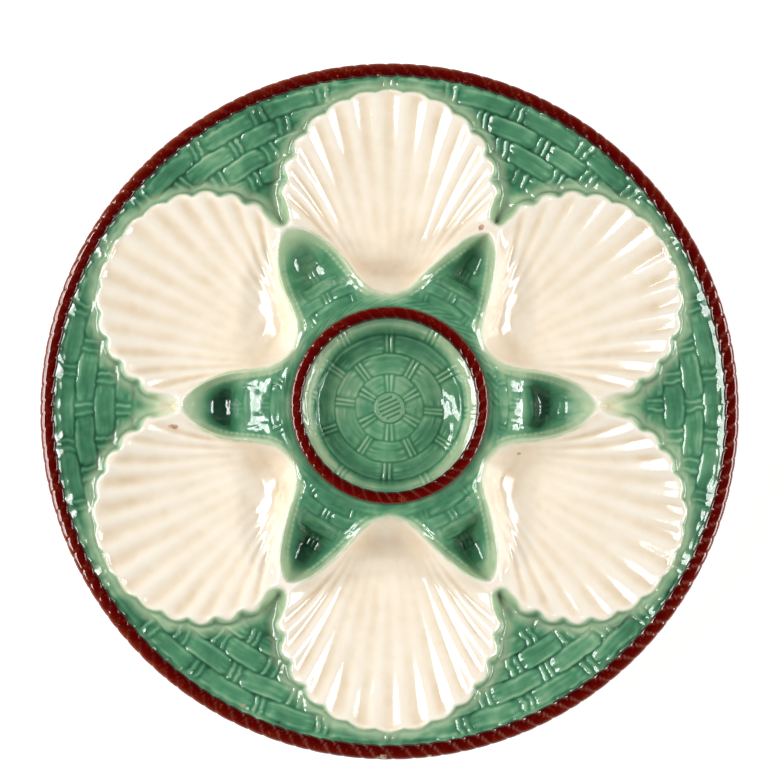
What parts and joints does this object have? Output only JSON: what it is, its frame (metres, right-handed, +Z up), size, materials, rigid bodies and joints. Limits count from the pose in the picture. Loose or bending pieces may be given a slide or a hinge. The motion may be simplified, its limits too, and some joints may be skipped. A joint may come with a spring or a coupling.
{
  "type": "oyster plate",
  "caption": "Round glazed earthenware oyster plate with scallop-shell wells set in green basketwork round a central dip well, on a low foot ring.",
  "frame": {"origin": "on the plate's axis, level with the foot ring's resting face", "axes": "+Z up along the plate's axis; one shell well points along +Y, and the picture looks from above with -Y towards the viewer"},
  "size_m": [0.245, 0.245, 0.029],
  "materials": {
    "green_glaze": "glossy translucent green lead glaze, darker where it pools and paler on edges",
    "cream_glaze": "glossy ivory glaze, greenish at the lips",
    "maroon_glaze": "glossy dark maroon glaze, thin and brown on the edges",
    "foot_glaze": "glossy buff glaze, worn bare on the resting face"
  },
  "bodies": {
    "root": {"border_basketwork": "green_glaze", "inner_basketwork": "green_glaze", "shell_well_1": "cream_glaze", "shell_well_2": "cream_glaze", "shell_well_3": "cream_glaze", "shell_well_4": "cream_glaze", "shell_well_5": "cream_glaze", "shell_well_6": "cream_glaze", "dip_well": "green_glaze", "dip_well_boss": "green_glaze", "dip_well_rope": "maroon_glaze", "rim_rope": "maroon_glaze", "foot_ring": "foot_glaze"}
  },
  "joints": []
}
